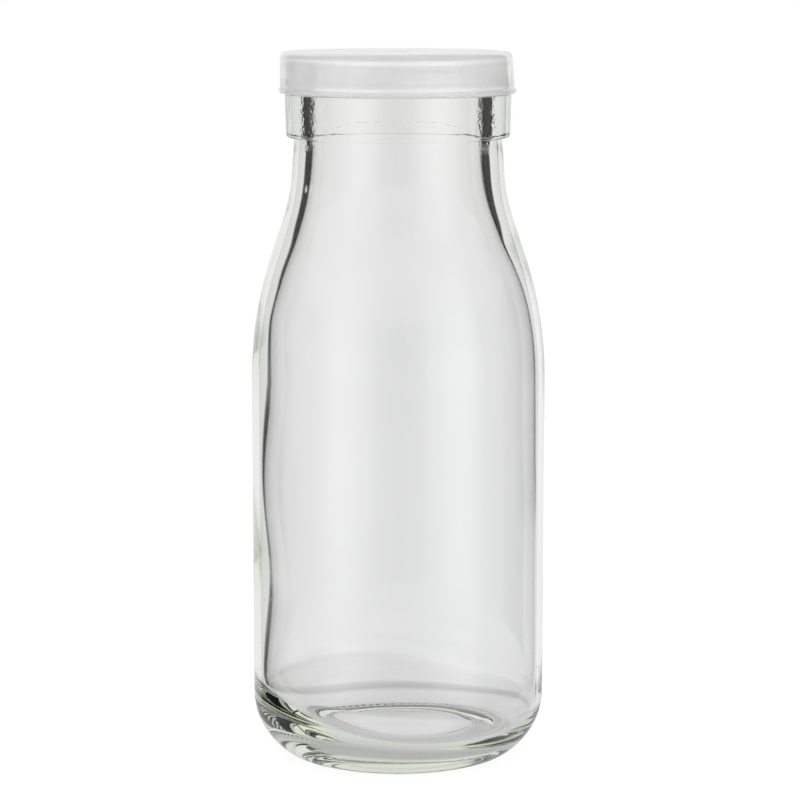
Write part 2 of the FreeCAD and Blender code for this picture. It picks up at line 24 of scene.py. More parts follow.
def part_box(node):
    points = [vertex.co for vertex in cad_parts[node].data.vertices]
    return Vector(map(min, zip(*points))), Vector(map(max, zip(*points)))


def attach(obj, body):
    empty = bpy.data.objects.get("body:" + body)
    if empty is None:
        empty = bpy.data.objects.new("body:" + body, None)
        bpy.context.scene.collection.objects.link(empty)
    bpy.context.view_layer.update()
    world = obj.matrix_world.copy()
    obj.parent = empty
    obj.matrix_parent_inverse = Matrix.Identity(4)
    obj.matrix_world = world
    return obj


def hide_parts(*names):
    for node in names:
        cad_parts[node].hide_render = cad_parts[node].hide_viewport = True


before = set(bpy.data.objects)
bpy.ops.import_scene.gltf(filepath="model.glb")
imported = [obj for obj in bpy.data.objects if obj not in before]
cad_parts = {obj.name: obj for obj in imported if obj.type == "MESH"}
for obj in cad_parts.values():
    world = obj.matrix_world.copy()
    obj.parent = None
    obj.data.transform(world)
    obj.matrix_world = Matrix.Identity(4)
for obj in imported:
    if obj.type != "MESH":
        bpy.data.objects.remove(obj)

LOG = logging.getLogger("milk_bottle")
MM = 0.001
BODY = "root"
DAYLIGHT_BLUE = 1.018


def linear(code: str) -> tuple[float, float, float, float]:
    """Turns an sRGB hex colour into the linear colour that shaders take.

    Args:
        code: Six hex digits, with or without a leading hash.

    Returns:
        Red, green, blue and an alpha of 1.
    """
    digits = code.lstrip("#")
    channels = []
    for start in (0, 2, 4):
        value = int(digits[start:start + 2], 16) / 255.0
        low = value <= 0.04045
        channels.append(value / 12.92 if low else ((value + 0.055) / 1.055) ** 2.4)
    return (channels[0], channels[1], channels[2], 1.0)


def grey(level: float) -> tuple[float, float, float, float]:
    """A neutral linear colour of one level."""
    return (level, level, level, 1.0)


def cool(level: float) -> tuple[float, float, float, float]:
    """Daylight of one level, a little blue."""
    return (level, level, DAYLIGHT_BLUE * level, 1.0)


def smooth(low: float, high: float, value: float) -> float:
    """Rises smoothly from 0 at low to 1 at high.

    Args:
        low: Where the rise begins.
        high: Where it ends; it may be below low, for a fall.
        value: The place asked for.

    Returns:
        A share from 0 to 1.
    """
    share = min(max((value - low) / (high - low), 0.0), 1.0)
    return share * share * (3.0 - 2.0 * share)


def add_node(
    tree: bpy.types.NodeTree,
    kind: str,
    inputs: Mapping[Any, Any] | None = None,
    **settings: Any,
) -> bpy.types.Node:
    """Adds one node to a tree, with its settings, values and links.

    Args:
        tree: The tree that gets the node.
        kind: The node's type name.
        inputs: Socket name or number to a value, or to the output socket it is linked from.
        **settings: The node's own properties.

    Returns:
        The new node.
    """
    made = tree.nodes.new(kind)
    for name, value in settings.items():
        setattr(made, name, value)
    for socket, source in (inputs or {}).items():
        if isinstance(source, bpy.types.NodeSocket):
            tree.links.new(source, made.inputs[socket])
        else:
            made.inputs[socket].default_value = source
    return made


def maths(tree: bpy.types.NodeTree, operation: str, *values: Any) -> bpy.types.NodeSocket:
    """Adds a maths node and gives its result.

    Args:
        tree: The tree that gets the node.
        operation: What the node works out.
        *values: Its values, or the output sockets they are linked from.

    Returns:
        The result's output.
    """
    return add_node(
        tree, "ShaderNodeMath", dict(enumerate(values)), operation=operation
    ).outputs[0]


def fade(
    tree: bpy.types.NodeTree, value: bpy.types.NodeSocket, begin: float, end: float,
    lowest: float = 0.0,
) -> bpy.types.NodeSocket:
    """Adds a smooth rise to 1 between two values, which may also run downwards.

    Args:
        tree: The tree that gets the node.
        value: What the rise depends on.
        begin: Where the rise begins.
        end: Where it reaches 1.
        lowest: The level before it begins.

    Returns:
        The level's output.
    """
    return add_node(tree, "ShaderNodeMapRange", {
        "Value": value,
        "From Min": begin,
        "From Max": end,
        "To Min": lowest,
    }, interpolation_type="SMOOTHSTEP").outputs["Result"]


def bent_light(tree: bpy.types.NodeTree) -> bpy.types.NodeSocket:
    """Is 1 for light that came by way of glass or a glossy surface, and 0 otherwise."""
    path = add_node(tree, "ShaderNodeLightPath")
    return maths(
        tree, "MAXIMUM", path.outputs["Is Glossy Ray"], path.outputs["Is Transmission Ray"]
    )


def new_material(name: str) -> tuple[bpy.types.Material, bpy.types.NodeTree, bpy.types.Node]:
    """Makes an empty node material.

    Args:
        name: The finish's name.

    Returns:
        The material, its tree and its output node.
    """
    material = bpy.data.materials.new(name)
    material.use_nodes = True
    tree = material.node_tree
    tree.nodes.clear()
    output = add_node(tree, "ShaderNodeOutputMaterial")
    return material, tree, output


class Zone(Enum):
    """The part of a section that a row of points belongs to."""

    UNDERSIDE = "underside"
    OUTSIDE = "outside"
    RIM = "rim"
    INSIDE = "inside"
    HEEL = "heel"
    FLOOR = "floor"


@dataclass
class Row:
    """One ring of a turned shape: its radius and height in millimetres, and its zone.

    A row of a zone whose size changes round the axis holds its share of the way through it.
    """

    radius: float
    height: float
    zone: Zone
    share: float = 0.0


@dataclass
class Section:
    """A half-section drawn as straight runs and arcs, from one pole on the axis to another."""

    rows: list[Row] = field(default_factory=list)
    zone: Zone = Zone.OUTSIDE

    def at(self, radius: float, height: float) -> None:
        """Adds one point."""
        self.rows.append(Row(radius, height, self.zone))

    def run(self, radius: float, height: float, step: float) -> None:
        """Adds a straight run to a point, with a row at least every step.

        Args:
            radius: The end's distance from the axis.
            height: The end's height.
            step: The longest gap between rows.
        """
        last = self.rows[-1]
        length = math.hypot(radius - last.radius, height - last.height)
        count = max(1, math.ceil(length / step))
        start = (last.radius, last.height)
        for index in range(1, count + 1):
            share = index / count
            self.at(
                start[0] + (radius - start[0]) * share,
                start[1] + (height - start[1]) * share,
            )

    def arc(
        self, centre: tuple[float, float], radius: float, begin: float, end: float, count: int
    ) -> None:
        """Adds an arc of rows after its first point.

        Args:
            centre: The arc's centre, as radius and height.
            radius: The arc's radius.
            begin: Its first angle in degrees, from level outwards.
            end: Its last angle.
            count: How many rows it adds.
        """
        for index in range(1, count + 1):
            angle = math.radians(begin + (end - begin) * index / count)
            self.at(centre[0] + radius * math.cos(angle), centre[1] + radius * math.sin(angle))

    def rounding(self, inset: float, turn: tuple[float, float], corner: Row, count: int) -> None:
        """Adds a quarter-round at a square corner, in place of the corner's point.

        Args:
            inset: The rounding's radius.
            turn: Directions, as -1 or 1, from the corner to the arc's centre.
            corner: Where the two faces would meet.
            count: How many rows it adds.
        """
        centre = (corner.radius + turn[0] * inset, corner.height + turn[1] * inset)
        last = self.rows[-1]
        begin = math.degrees(math.atan2(last.height - centre[1], last.radius - centre[0]))
        upright = 90.0 if turn[1] < 0 else -90.0
        level = 0.0 if turn[0] < 0 else 180.0
        from_upright = abs(math.remainder(begin - upright, 360.0)) < 1.0
        end = level if from_upright else upright
        begin = upright if from_upright else level
        span = math.remainder(end - begin, 360.0)
        self.arc(centre, inset, begin, begin + span, count)


@dataclass(frozen=True)
class FlintGlass:
    """Blown soda-lime glass: fire-polished and clear, with iron's green where it is thick.

    The surface is glossy without any texture, except at both sides inside the mouth, where the
    plunger left a fine orange-peel.
    """

    name: str = "blown soda-lime glass"
    surface: str = "#FFFFFF"
    ior: float = 1.5
    roughness: float = 0.0
    depth_colour: tuple[float, float, float, float] = (0.72, 0.80, 0.50, 1.0)
    depth_density: float = 12.0
    peel_mm: float = 0.8
    peel_height_mm: float = 0.035
    mouth_foot_mm: float = 119.5
    mouth_fade_mm: float = 3.0
    mouth_radius_mm: float = 18.0
    mouth_edge_mm: float = 0.3
    side_span: tuple[float, float] = (0.5, 0.9)

    def peel(self, tree: bpy.types.NodeTree) -> bpy.types.NodeSocket:
        """Makes the orange-peel inside the mouth.

        Args:
            tree: The material's tree.

        Returns:
            The normal's output.
        """
        place = add_node(tree, "ShaderNodeTexCoord").outputs["Object"]
        axes = add_node(tree, "ShaderNodeSeparateXYZ", {0: place})
        flat = add_node(
            tree, "ShaderNodeVectorMath", {0: place, 1: (1.0, 1.0, 0.0)}, operation="MULTIPLY"
        ).outputs[0]
        radius = add_node(tree, "ShaderNodeVectorMath", {0: flat}, operation="LENGTH")
        mouth, edge = self.mouth_radius_mm * MM, self.mouth_edge_mm * MM
        foot = self.mouth_foot_mm * MM
        inward = fade(tree, radius.outputs["Value"], mouth + edge, mouth - edge)
        upward = fade(tree, axes.outputs["Z"], foot, foot + self.mouth_fade_mm * MM)
        aside = maths(tree, "ABSOLUTE", axes.outputs["X"])
        beside = fade(tree, aside, *(share * mouth for share in self.side_span))
        share = maths(tree, "MULTIPLY", maths(tree, "MULTIPLY", inward, upward), beside)
        grain = add_node(tree, "ShaderNodeTexNoise", {
            "Vector": place,
            "Scale": 1.0 / (self.peel_mm * MM),
            "Detail": 1.0,
        }).outputs["Fac"]
        height = maths(tree, "MULTIPLY", grain, share)
        return add_node(tree, "ShaderNodeBump", {
            "Height": height,
            "Distance": self.peel_height_mm * MM,
            "Strength": 1.0,
        }).outputs["Normal"]

    def build(self) -> bpy.types.Material:
        """Makes the material."""
        material, tree, output = new_material(self.name)
        shader = add_node(tree, "ShaderNodeBsdfPrincipled", {
            "Base Color": linear(self.surface),
            "Roughness": self.roughness,
            "IOR": self.ior,
            "Transmission Weight": 1.0,
            "Normal": self.peel(tree),
        })
        depth = add_node(tree, "ShaderNodeVolumeAbsorption", {
            "Color": self.depth_colour,
            "Density": self.depth_density,
        })
        tree.links.new(shader.outputs["BSDF"], output.inputs["Surface"])
        tree.links.new(depth.outputs["Volume"], output.inputs["Volume"])
        return material


@dataclass(frozen=True)
class MilkyPolyethylene:
    """Moulded low-density polyethylene: milky, half see-through, satin from the mould.

    Light scatters in it, so what lies behind shows soft, and least through the panel on top.
    """

    name: str = "moulded milky polyethylene"
    colour: str = "#FFFFFF"
    ior: float = 1.51
    roughness: float = 0.08
    clear_share: float = 0.6
    panel_share: float = 0.8
    panel_foot_mm: float = 139.0
    panel_fade_mm: float = 1.2
    cloud_mm: float = 6.0
    cloud_span: tuple[float, float] = (0.3, 0.7)
    cloud_depth: float = 0.03
    grain_mm: float = 0.35
    grain_height_mm: float = 0.002

    def build(self) -> bpy.types.Material:
        """Makes the material."""
        material, tree, output = new_material(self.name)
        place = add_node(tree, "ShaderNodeTexCoord").outputs["Object"]
        cloud = add_node(tree, "ShaderNodeTexNoise", {
            "Vector": place,
            "Scale": 1.0 / (self.cloud_mm * MM),
            "Detail": 3.0,
        }).outputs["Fac"]
        share = add_node(tree, "ShaderNodeMapRange", {
            "Value": cloud,
            "From Min": self.cloud_span[0],
            "From Max": self.cloud_span[1],
            "To Min": self.clear_share - self.cloud_depth,
            "To Max": self.clear_share + self.cloud_depth,
        }).outputs["Result"]
        height = add_node(tree, "ShaderNodeSeparateXYZ", {0: place}).outputs["Z"]
        foot = self.panel_foot_mm * MM
        skirt = fade(tree, height, foot, foot - self.panel_fade_mm * MM, self.panel_share)
        share = maths(tree, "MULTIPLY", share, skirt)
        grain = add_node(tree, "ShaderNodeTexNoise", {
            "Vector": place,
            "Scale": 1.0 / (self.grain_mm * MM),
            "Detail": 2.0,
        }).outputs["Fac"]
        bump = add_node(tree, "ShaderNodeBump", {
            "Height": grain,
            "Distance": self.grain_height_mm * MM,
            "Strength": 1.0,
        }).outputs["Normal"]
        shader = add_node(tree, "ShaderNodeBsdfPrincipled", {
            "Base Color": linear(self.colour),
            "Roughness": self.roughness,
            "IOR": self.ior,
            "Transmission Weight": share,
            "Normal": bump,
        })
        tree.links.new(shader.outputs["BSDF"], output.inputs["Surface"])
        return material


@dataclass
class Turned:
    """A turned shape: a section's rows swept round the axis, with closed poles."""

    name: str
    section: Section
    sides: int

    def place(self, row: Row, azimuth: float) -> tuple[float, float, float]:
        """A point of the shape in millimetres; subclasses add their unevenness."""
        return (
            row.radius * math.cos(azimuth),
            row.radius * math.sin(azimuth),
            row.height,
        )

    def mesh(self) -> bpy.types.Mesh:
        """Builds the closed mesh, with its faces pointing out of the material."""
        bm = bmesh.new()
        rings: list[list[bmesh.types.BMVert]] = []
        for row in self.section.rows:
            if row.radius < 1e-6:
                point = self.place(row, 0.0)
                rings.append([bm.verts.new([value * MM for value in point])])
                continue
            ring = []
            for side in range(self.sides):
                point = self.place(row, 2.0 * math.pi * side / self.sides)
                ring.append(bm.verts.new([value * MM for value in point]))
            rings.append(ring)
        for low, high in zip(rings, rings[1:]):
            for side in range(self.sides):
                after = (side + 1) % self.sides
                if len(low) == 1:
                    corners = [low[0], high[side], high[after]]
                elif len(high) == 1:
                    corners = [low[after], low[side], high[0]]
                else:
                    corners = [low[after], low[side], high[side], high[after]]
                bm.faces.new(corners)
        bmesh.ops.recalc_face_normals(bm, faces=bm.faces)
        for face in bm.faces:
            face.smooth = True
        mesh = bpy.data.meshes.new(self.name)
        bm.to_mesh(mesh)
        bm.free()
        return mesh


def throat_centre(
    wall: tuple[float, float], arc: float, slope: float, turn: float,
    neck: tuple[float, float], draft: float,
) -> tuple[float, float]:
    """Centre of the hollow arc between a shoulder and the neck above it.

    Args:
        wall: Radius of the wall and height where the shoulder's arc leaves it.
        arc: Radius of the shoulder's arc.
        slope: Angle in degrees at which that arc ends.
        turn: Radius of the hollow arc.
        neck: Radius and height of the neck's upper end.
        draft: The neck's taper in degrees.

    Returns:
        The centre, as radius and height.
    """
    lean, tilt = math.radians(slope), math.radians(draft)
    foot = (
        wall[0] - arc + arc * math.cos(lean),
        wall[1] + arc * math.sin(lean),
    )
    first = foot[0] * math.cos(lean) + foot[1] * math.sin(lean) + turn
    second = neck[0] * math.cos(tilt) + neck[1] * math.sin(tilt) + turn
    spread = math.sin(tilt - lean)
    return (
        (first * math.sin(tilt) - second * math.sin(lean)) / spread,
        (second * math.cos(lean) - first * math.cos(tilt)) / spread,
    )


@dataclass(frozen=True)
class Seed:
    """A gas bubble caught in the glass, by its centre and half sizes in millimetres."""

    centre: tuple[float, float, float]
    across: float
    tall: float

    def add_to(self, mesh: bpy.types.Mesh) -> None:
        """Adds the bubble's wall to a mesh, facing its own inside."""
        bm = bmesh.new()
        bm.from_mesh(mesh)
        made = bmesh.ops.create_icosphere(bm, subdivisions=3, radius=1.0)["verts"]
        for vert in made:
            vert.co = Vector((
                (self.centre[0] + self.across * vert.co.x) * MM,
                (self.centre[1] + self.across * vert.co.y) * MM,
                (self.centre[2] + self.tall * vert.co.z) * MM,
            ))
        faces = {face for vert in made for face in vert.link_faces}
        for face in faces:
            face.smooth = True
        bmesh.ops.reverse_faces(bm, faces=list(faces))
        bm.to_mesh(mesh)
        bm.free()


@dataclass
class Bottle:
    """The blown glass bottle.

    The outside follows the mould.  The inside is eccentric and wavy, the heel is heavy on one
    side, and the standing ring is knurled.
    """

    body_radius: float = 29.2
    shoulder_start: float = 75.2
    shoulder_arc: float = 78.5
    shoulder_slope: float = 18.7
    throat_arc: float = 36.0
    neck_radius: float = 20.5
    neck_draft: float = 3.7
    neck_top: float = 123.3
    heel_arc: float = 13.6
    heel_turn: float = 58.0
    toe_arc: float = 1.6
    collar_length: float = 8.45
    collar_foot_radius: float = 22.1
    collar_head_radius: float = 22.3
    collar_rounding: float = 0.6
    collar_ease: float = 0.06
    collar_edge: float = 0.1
    finish_radius: float = 21.45
    finish_draft: float = 2.4
    groove_height: float = 2.1
    groove_depth: float = 0.45
    groove_root: float = 0.2
    rim_rounding: float = 1.1
    mouth_rounding: float = 0.8
    bore_radius: float = 16.75
    ridge_height: float = 125.9
    ridge_reach: float = 0.15
    ridge_sag: float = 0.9
    inner_throat_arc: float = 46.0
    inner_slope: float = 23.5
    inner_shoulder_arc: float = 60.0
    inner_shoulder_start: float = 76.0
    wall: float = 2.5
    heavy_heel_arc: float = 12.0
    light_heel_arc: float = 7.0
    floor: float = 4.6
    floor_dome: float = 240.0
    standing_width: float = 2.4
    push_up: float = 1.9
    push_up_disc: float = 14.85
    push_up_rise: float = 0.5
    push_up_step: float = 0.45
    push_up_foot: float = 0.13
    knurl_count: int = 80
    knurl_depth: float = 0.25
    sides: int = 320
    seeds: tuple[Seed, ...] = (
        Seed((-16.6, -8.2, 113.5), 0.45, 0.9),
        Seed((-25.6, -10.6, 32.4), 0.18, 0.22),
        Seed((-26.6, -6.0, 17.2), 0.16, 0.35),
        Seed((27.4, -6.6, 17.6), 0.15, 0.5),
    )

    def standing_radius(self) -> float:
        """Outer radius of the flat ring that the bottle stands on."""
        turn = math.radians(self.heel_turn)
        return self.body_radius - self.heel_arc + (self.heel_arc - self.toe_arc) * math.cos(turn)

    def rim(self) -> float:
        """Height of the rim, from the frame."""
        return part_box("bottle")[1][2] / MM

    def outside(self, section: Section) -> None:
        """Draws the underside and the outside, from the pole under the base to the rim."""
        section.zone = Zone.UNDERSIDE
        stand = self.standing_radius()
        ring_inside = stand - self.standing_width
        peak = self.push_up + self.push_up_rise
        dome = (self.push_up_disc**2 + self.push_up_rise**2) / (2 * self.push_up_rise)
        spread = math.degrees(math.asin(self.push_up_disc / dome))
        section.at(0.0, peak)
        section.arc((0.0, peak - dome), dome, 90.0, 90.0 - spread, 9)
        section.run(self.push_up_disc + 0.05, self.push_up - 0.02, 0.1)
        section.run(self.push_up_disc + 0.22, self.push_up - self.push_up_step, 0.12)
        section.run(self.push_up_disc + 0.45, self.push_up - self.push_up_step - 0.04, 0.3)
        section.run(ring_inside - 0.3, self.push_up_foot, 1.2)
        section.run(ring_inside, 0.0, 0.4)
        section.run(stand, 0.0, 0.35)

        section.zone = Zone.OUTSIDE
        turn = math.radians(self.heel_turn)
        heel_top = self.heel_arc * math.sin(turn) + self.toe_arc * (1.0 - math.sin(turn))
        heel = (self.body_radius - self.heel_arc, heel_top)
        toe = (
            heel[0] + (self.heel_arc - self.toe_arc) * math.cos(turn),
            heel[1] - (self.heel_arc - self.toe_arc) * math.sin(turn),
        )
        section.arc(toe, self.toe_arc, -90.0, -self.heel_turn, 4)
        section.arc(heel, self.heel_arc, -self.heel_turn, 0.0, 20)
        section.run(self.body_radius, self.shoulder_start, 7.0)
        shoulder = (self.body_radius - self.shoulder_arc, self.shoulder_start)
        section.arc(shoulder, self.shoulder_arc, 0.0, self.shoulder_slope, 18)
        throat = throat_centre(
            (self.body_radius, self.shoulder_start), self.shoulder_arc, self.shoulder_slope,
            self.throat_arc, (self.neck_radius, self.neck_top), self.neck_draft,
        )
        lean = math.radians(180.0 + self.shoulder_slope)
        section.run(
            throat[0] + self.throat_arc * math.cos(lean),
            throat[1] + self.throat_arc * math.sin(lean), 2.0,
        )
        section.arc(
            throat, self.throat_arc, 180.0 + self.shoulder_slope, 180.0 + self.neck_draft, 12
        )
        self.collar(section)

    def collar(self, section: Section) -> None:
        """Draws the neck's root, the collar, the lid groove and the rim."""
        top = self.neck_top + self.collar_length
        ease = self.collar_ease
        section.run(self.neck_radius, self.neck_top - ease, 1.5)
        section.rounding(ease, (1, -1), Row(self.neck_radius, self.neck_top, Zone.OUTSIDE), 4)
        under = self.collar_foot_radius - self.collar_rounding
        section.run(under - self.collar_edge, self.neck_top, 0.6)
        section.run(under, self.neck_top, 0.6)
        corner = Row(self.collar_foot_radius, self.neck_top, Zone.OUTSIDE)
        section.rounding(self.collar_rounding, (-1, 1), corner, 6)
        edge = self.neck_top + self.collar_rounding + self.collar_edge
        section.run(self.collar_foot_radius, edge, 1.0)
        section.run(self.collar_head_radius, top - ease, 1.8)
        corner = Row(self.collar_head_radius, top, Zone.OUTSIDE)
        section.rounding(ease, (-1, -1), corner, 4)
        groove = self.finish_radius - self.groove_depth
        section.run(groove + self.groove_root, top, 0.5)
        section.rounding(self.groove_root, (1, 1), Row(groove, top, Zone.OUTSIDE), 3)
        section.run(groove, top + self.groove_height, 0.7)
        bead_foot = top + self.groove_height + self.groove_depth
        section.run(self.finish_radius, bead_foot, 0.25)
        rim = self.rim()
        rim_radius = self.finish_radius - (rim - bead_foot) * math.tan(
            math.radians(self.finish_draft)
        )
        section.run(rim_radius + 0.03, rim - self.rim_rounding, 0.9)
        section.zone = Zone.RIM
        section.rounding(self.rim_rounding, (-1, -1), Row(rim_radius, rim, Zone.RIM), 7)
        section.run(self.bore_radius + self.mouth_rounding, rim, 1.0)

    def inside(self, section: Section) -> None:
        """Draws the inside, from the rim to the pole in the middle of the floor."""
        rim = self.rim()
        corner = Row(self.bore_radius, rim, Zone.RIM)
        section.rounding(self.mouth_rounding, (1, -1), corner, 5)
        section.zone = Zone.INSIDE
        wall_radius = self.body_radius - self.wall
        throat = throat_centre(
            (wall_radius, self.inner_shoulder_start), self.inner_shoulder_arc, self.inner_slope,
            self.inner_throat_arc, (self.bore_radius, rim), 0.0,
        )
        section.run(self.bore_radius, self.ridge_height + self.ridge_reach, 0.45)
        section.run(self.bore_radius, self.ridge_height - self.ridge_reach, 0.03)
        section.run(self.bore_radius, throat[1], 0.45)
        section.arc(throat, self.inner_throat_arc, 180.0, 180.0 + self.inner_slope, 16)
        shoulder = (wall_radius - self.inner_shoulder_arc, self.inner_shoulder_start)
        lean = math.radians(self.inner_slope)
        section.run(
            shoulder[0] + self.inner_shoulder_arc * math.cos(lean),
            shoulder[1] + self.inner_shoulder_arc * math.sin(lean), 1.2,
        )
        section.arc(shoulder, self.inner_shoulder_arc, self.inner_slope, 0.0, 14)
        section.run(wall_radius, self.inner_shoulder_start - 0.9, 1.0)
        section.run(wall_radius, self.heel_height(self.heavy_heel_arc) + 0.4, 2.2)
        for zone, count in ((Zone.HEEL, 26), (Zone.FLOOR, 14)):
            for index in range(1, count + 1):
                radius = 0.0 if zone is Zone.FLOOR and index == count else wall_radius
                section.rows.append(Row(radius, self.floor, zone, index / count))

    def heel_lean(self, arc: float) -> float:
        """Angle at which a floor dome meets an inner heel of one radius."""
        return math.asin((self.body_radius - self.wall - arc) / (self.floor_dome + arc))

    def heel_height(self, arc: float) -> float:
        """Height of the centre of an inner heel of one radius."""
        reach = (self.floor_dome + arc) * math.cos(self.heel_lean(arc))
        return self.floor - self.floor_dome + reach

    def heel_point(self, zone: Zone, share: float, arc: float) -> tuple[float, float]:
        """A point of the inner heel or the floor.

        Args:
            zone: The heel or the floor.
            share: The way through it, from the wall to the middle.
            arc: The inner heel's radius there.

        Returns:
            Radius and height.
        """
        lean = self.heel_lean(arc)
        if zone is Zone.FLOOR:
            left = lean * (1.0 - share)
            dome = self.floor_dome
            return (dome * math.sin(left), self.floor - dome + dome * math.cos(left))
        turn = -(0.5 * math.pi + lean) * share
        return (
            self.body_radius - self.wall - arc + arc * math.cos(turn),
            self.heel_height(arc) + arc * math.sin(turn),
        )

    def build(self, glass: bpy.types.Material) -> bpy.types.Object:
        """Makes the finished bottle.

        Args:
            glass: The finish.

        Returns:
            The finished piece.
        """
        section = Section()
        self.outside(section)
        self.inside(section)
        shape = BlownGlass("bottle_glass", section, self.sides, self)
        mesh = shape.mesh()
        for seed in self.seeds:
            seed.add_to(mesh)
        piece = bpy.data.objects.new("bottle_glass", mesh)
        bpy.context.scene.collection.objects.link(piece)
        piece.data.materials.append(glass)
        LOG.info("%s: %d rows, %d faces", piece.name, len(section.rows), len(piece.data.polygons))
        return piece


@dataclass
class BlownGlass(Turned):
    """The bottle's turned shape with the unevenness of blown glass.

    Its inside is off centre in the neck one way and in the body the other, waves slowly down the
    wall, and is rippled in the mouth where the plunger pressed it.
    """

    bottle: Bottle
    neck_shift: float = -0.2
    body_shift: float = 0.4
    shift_span: tuple[float, float] = (92.0, 116.0)
    middle_span: tuple[float, float] = (4.0, 20.0)
    rim_span: tuple[float, float] = (137.5, 131.0)
    wave_height: float = 0.34
    wave_length: float = 44.0
    wave_peak: float = 52.5
    wave_slant: float = 7.0
    wave_top: tuple[float, float] = (96.0, 84.0)
    wave_foot: tuple[float, float] = (6.0, 18.0)
    low_thinning: float = 0.3
    thinning_span: tuple[float, float] = (62.0, 46.0)
    ripple_height: float = 0.012
    ripple_length: float = 1.5
    ripple_foot: tuple[float, float] = (120.5, 123.5)
    ripple_top: tuple[float, float] = (137.0, 133.0)
    slow_height: float = 0.06
    slow_length: float = 22.0
    ridge_rise: float = 0.3
    ridge_width: float = 0.06
    ridge_gap: float = 1.3
    ridge_wander: float = 0.15
    wander_length: float = 3.0
    foot_crispness: float = 0.97
    seam_side: int = 303
    seam_height: float = 0.04
    seam_foot: tuple[float, float] = (6.0, 14.0)

    def shift(self, height: float) -> float:
        """How far the inside stands off centre, towards +X, at one height."""
        way = smooth(*self.shift_span, height)
        return self.body_shift + (self.neck_shift - self.body_shift) * way

    def place(self, row: Row, azimuth: float) -> tuple[float, float, float]:
        """A point of the shape in millimetres."""
        if row.zone is Zone.OUTSIDE:
            return self.outer_point(row, azimuth)
        if row.zone in (Zone.INSIDE, Zone.HEEL, Zone.FLOOR):
            return self.inner_point(row, azimuth)
        if row.zone is Zone.UNDERSIDE:
            return self.standing_point(row, azimuth)
        return super().place(row, azimuth)

    def standing_point(self, row: Row, azimuth: float) -> tuple[float, float, float]:
        """A point of the underside, with the standing ring's notches."""
        point = super().place(row, azimuth)
        stand = self.bottle.standing_radius()
        inner = stand - self.bottle.standing_width
        across = smooth(inner + 0.1, inner + 0.5, row.radius) * smooth(
            stand - 0.1, stand - 0.5, row.radius
        )
        pulse = math.cos(azimuth * self.bottle.knurl_count)
        notch = self.bottle.knurl_depth * across * smooth(0.1, 0.6, pulse)
        return (point[0], point[1], point[2] + notch)

    def outer_point(self, row: Row, azimuth: float) -> tuple[float, float, float]:
        """A point outside, with the two mould seams as fine ridges.

        The foot of the collar is nearly sharp at front and back, and rounded at the sides.
        """
        side = round(azimuth / (2.0 * math.pi) * self.sides) % self.sides
        on_seam = side in (self.seam_side, (self.seam_side + self.sides // 2) % self.sides)
        rise = self.seam_height * smooth(*self.seam_foot, row.height) if on_seam else 0.0
        radius, height = row.radius + rise, row.height
        foot, corner = self.bottle.neck_top, self.bottle.collar_foot_radius
        over = self.bottle.collar_rounding + self.bottle.collar_edge + 0.01
        if foot <= height <= foot + over and radius > corner - over:
            crisp = self.foot_crispness * smooth(0.45, 0.85, abs(math.sin(azimuth)))
            radius += (corner - radius) * crisp
            height += (foot - height) * crisp
        return (radius * math.cos(azimuth), radius * math.sin(azimuth), height)

    def inner_point(self, row: Row, azimuth: float) -> tuple[float, float, float]:
        """A point inside, off centre and wavy."""
        around, base, height = math.cos(azimuth), row.radius, row.height
        if row.zone is not Zone.INSIDE:
            heavy, light = self.bottle.heavy_heel_arc, self.bottle.light_heel_arc
            arc = 0.5 * (heavy + light) - 0.5 * (heavy - light) * around
            base, height = self.bottle.heel_point(row.zone, row.share, arc)
        edge = smooth(*self.middle_span, base) * smooth(*self.rim_span, height)
        radius = base + self.shift(height) * around * edge
        in_body = smooth(*self.wave_top, height) * smooth(*self.wave_foot, height)
        slant = self.wave_slant * math.sin(azimuth)
        phase = (height - self.wave_peak - slant) / self.wave_length
        heavy = 0.55 - 0.45 * around
        radius += self.wave_height * math.cos(2.0 * math.pi * phase) * heavy * in_body
        thin = max(0.0, around) * smooth(*self.thinning_span, height)
        radius += self.low_thinning * thin * in_body
        spot = Vector((math.cos(azimuth), math.sin(azimuth), 0.0)) * base
        spot.z = height
        radius += self.slow_height * noise.noise(spot / self.slow_length) * edge
        in_mouth = smooth(*self.ripple_foot, height) * smooth(*self.ripple_top, height)
        ripple = noise.noise(Vector((spot.x, spot.y, spot.z * 0.6)) / self.ripple_length)
        radius += self.ripple_height * ripple * in_mouth * smooth(0.4, 0.8, abs(around))
        return self.with_ridge(radius, height, spot, azimuth)

    def with_ridge(
        self, radius: float, height: float, spot: Vector, azimuth: float
    ) -> tuple[float, float, float]:
        """A point inside, with the broken flow line across the back of the neck.

        Args:
            radius: The point's distance from the axis without the line.
            height: Its height.
            spot: The same point on the even wall.
            azimuth: Its direction from the axis.

        Returns:
            The point.
        """
        behind = math.sin(azimuth)
        above = (height - self.bottle.ridge_height) / self.ridge_width
        broken = smooth(-0.15, 0.1, noise.noise(spot / self.ridge_gap))
        broken *= smooth(0.5, 0.65, behind)
        radius -= self.ridge_rise * math.exp(-(above**2)) * broken
        sag = self.bottle.ridge_sag * smooth(0.88, 0.62, behind)
        sag += self.ridge_wander * noise.noise(spot / self.wander_length)
        near_ridge = smooth(4.0, 0.5, abs(height - self.bottle.ridge_height))
        drop = sag * near_ridge * smooth(-0.2, 0.3, behind)
        return (radius * math.cos(azimuth), radius * math.sin(azimuth), height - drop)


